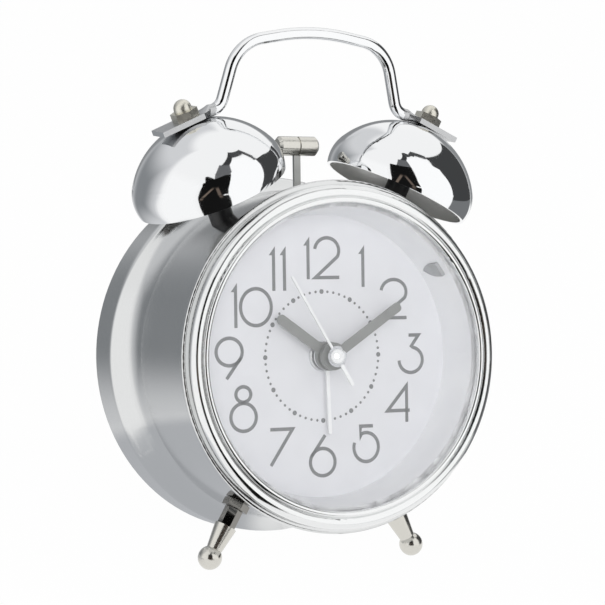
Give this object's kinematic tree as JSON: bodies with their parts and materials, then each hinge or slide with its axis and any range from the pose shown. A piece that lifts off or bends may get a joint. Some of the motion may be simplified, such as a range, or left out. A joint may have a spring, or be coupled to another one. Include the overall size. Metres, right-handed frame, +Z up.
{
  "type": "twin-bell alarm clock",
  "caption": "Twin-bell table alarm clock: a round drum case with glass, dial and hands, bells with a striking hammer, a bent rod handle, splayed ball feet and a battery movement.",
  "frame": {"origin": "on the table, under the middle of the clock's bounding box", "axes": "+Z up, +Y from the dial to the back, +X to the right as the dial is read"},
  "size_m": [0.1098, 0.0798, 0.1576],
  "materials": {
    "chrome_case": "satin chrome plate on steel",
    "chrome_bell": "polished chrome plate",
    "warm_nickel": "nickel plate, slightly warm",
    "clear_glass": "clear",
    "dial_white": "matt printed",
    "window_grey": "milky translucent",
    "hand_grey": "grey lacquer",
    "hand_white": "white lacquer",
    "hub_silver": "turned",
    "steel": "zinc plated",
    "movement_black": "moulded black",
    "wheel_white": "moulded natural",
    "coil_copper": "enamelled wire",
    "board_green": "board laminate",
    "cover_black": "fine grain"
  },
  "bodies": {
    "case": {"case_drum": "chrome_case", "bezel": "chrome_case", "left_bell": "chrome_bell", "right_bell": "chrome_bell", "handle": "chrome_bell", "acorn_nuts": "chrome_bell", "bell_posts": "chrome_bell", "bell_inner_nuts": "chrome_bell", "foot_nuts": "chrome_bell", "cover_screws": "chrome_bell", "left_foot": "warm_nickel", "right_foot": "warm_nickel", "glass": "clear_glass", "dial": "dial_white", "dial_ring": "dial_white", "light_window": "window_grey", "night_lamp": "window_grey", "centre_nut": "hub_silver", "hammer_pivot_pin": "steel", "hammer_clip": "steel", "striker_frame": "steel", "frame_screws": "steel", "motor": "steel", "dial_screws": "steel", "movement_screws": "steel", "stator": "steel", "battery_contacts": "steel", "movement_front": "movement_black", "movement_rear": "movement_black", "train_bridge": "movement_black", "alarm_switch_body": "movement_black", "light_switch_cup": "movement_black", "light_switch": "movement_black", "coil": "coil_copper", "circuit_board": "board_green", "back_cover": "cover_black", "bell_spacers": "cover_black"},
    "second": {"second_wheel": "wheel_white", "second_hand": "hand_white", "second_cap": "hub_silver"},
    "third": {"third_wheel": "wheel_white"},
    "centre": {"centre_wheel": "wheel_white"},
    "intermediate": {"intermediate_wheel": "wheel_white"},
    "rotor": {"rotor": "wheel_white"},
    "minute": {"cannon_pinion": "wheel_white", "minute_hand": "hand_grey"},
    "hour": {"hour_wheel": "wheel_white", "hour_hand": "hand_grey"},
    "time_setting": {"motion_wheel": "steel", "time_knob": "cover_black"},
    "alarm_disc": {"alarm_wheel": "wheel_white", "alarm_hand": "hand_white"},
    "alarm_setting": {"alarm_pinion": "steel", "alarm_knob": "cover_black"},
    "switch": {"alarm_switch": "cover_black"},
    "button": {"light_button": "cover_black"},
    "hammer": {"hammer_arm": "steel", "hammer_head": "warm_nickel"},
    "crank": {"crank": "steel"},
    "door": {"battery_door": "cover_black"}
  },
  "joints": [
    {"name": "second_turn", "type": "hinge", "parent": "case", "child": "second", "pos_m": [0, -0.01299, 0.06241], "axis": [0, 0.9762, -0.2171], "continuous": true},
    {"name": "third_turn", "type": "hinge", "parent": "case", "child": "third", "pos_m": [0, -0.00579, 0.05106], "axis": [0, 0.9762, -0.2171], "continuous": true},
    {"name": "centre_turn", "type": "hinge", "parent": "case", "child": "centre", "pos_m": [0, -0.00489, 0.06061], "axis": [0, 0.9762, -0.2171], "continuous": true},
    {"name": "intermediate_turn", "type": "hinge", "parent": "case", "child": "intermediate", "pos_m": [0.00758, -0.00174, 0.05543], "axis": [0, 0.9762, -0.2171], "continuous": true},
    {"name": "rotor_turn", "type": "hinge", "parent": "case", "child": "rotor", "pos_m": [0.01058, -0.00287, 0.05036], "axis": [0, 0.9762, -0.2171], "continuous": true},
    {"name": "time_setting_turn", "type": "hinge", "parent": "case", "child": "time_setting", "pos_m": [-0.0115, 0.03196, 0.05955], "axis": [0, 0.9762, -0.2171], "continuous": true},
    {"name": "minute_turn", "type": "hinge", "parent": "case", "child": "minute", "pos_m": [0, -0.01299, 0.06241], "axis": [0, 0.9762, -0.2171], "continuous": true},
    {"name": "hour_turn", "type": "hinge", "parent": "case", "child": "hour", "pos_m": [0, -0.01299, 0.06241], "axis": [0, 0.9762, -0.2171], "continuous": true},
    {"name": "alarm_setting_turn", "type": "hinge", "parent": "case", "child": "alarm_setting", "pos_m": [0.0115, 0.03196, 0.05955], "axis": [0, 0.9762, -0.2171], "continuous": true},
    {"name": "alarm_turn", "type": "hinge", "parent": "case", "child": "alarm_disc", "pos_m": [0, -0.01299, 0.06241], "axis": [0, 0.9762, -0.2171], "continuous": true},
    {"name": "alarm_switch_slide", "type": "slide", "parent": "case", "child": "switch", "axis": [1, 0, 0], "range_m": [0, 0.004]},
    {"name": "light_button_press", "type": "slide", "parent": "case", "child": "button", "axis": [0, -0.9762, 0.2171], "range_m": [0, 0.001], "stiffness_N_per_m": 900},
    {"name": "hammer_swing", "type": "hinge", "parent": "case", "child": "hammer", "pos_m": [0, 0.01001, 0.10135], "axis": [0, 0.9762, -0.2171], "range_deg": [-13.4, 13.4]},
    {"name": "crank_turn", "type": "hinge", "parent": "case", "child": "crank", "pos_m": [0, 0.00908, 0.09029], "axis": [0, 0.9762, -0.2171], "continuous": true},
    {"name": "battery_door_slide", "type": "slide", "parent": "case", "child": "door", "axis": [0, 0.9762, -0.2171], "range_m": [0, 0.02]}
  ],
  "couplings": [
    {"joint": "third_turn", "follows": "second_turn", "ratio": -0.13333},
    {"joint": "centre_turn", "follows": "second_turn", "ratio": 0.016667},
    {"joint": "intermediate_turn", "follows": "second_turn", "ratio": -6},
    {"joint": "rotor_turn", "follows": "second_turn", "ratio": 30},
    {"joint": "minute_turn", "follows": "time_setting_turn", "ratio": -3},
    {"joint": "hour_turn", "follows": "time_setting_turn", "ratio": -0.25},
    {"joint": "alarm_turn", "follows": "alarm_setting_turn", "ratio": -0.33333}
  ]
}
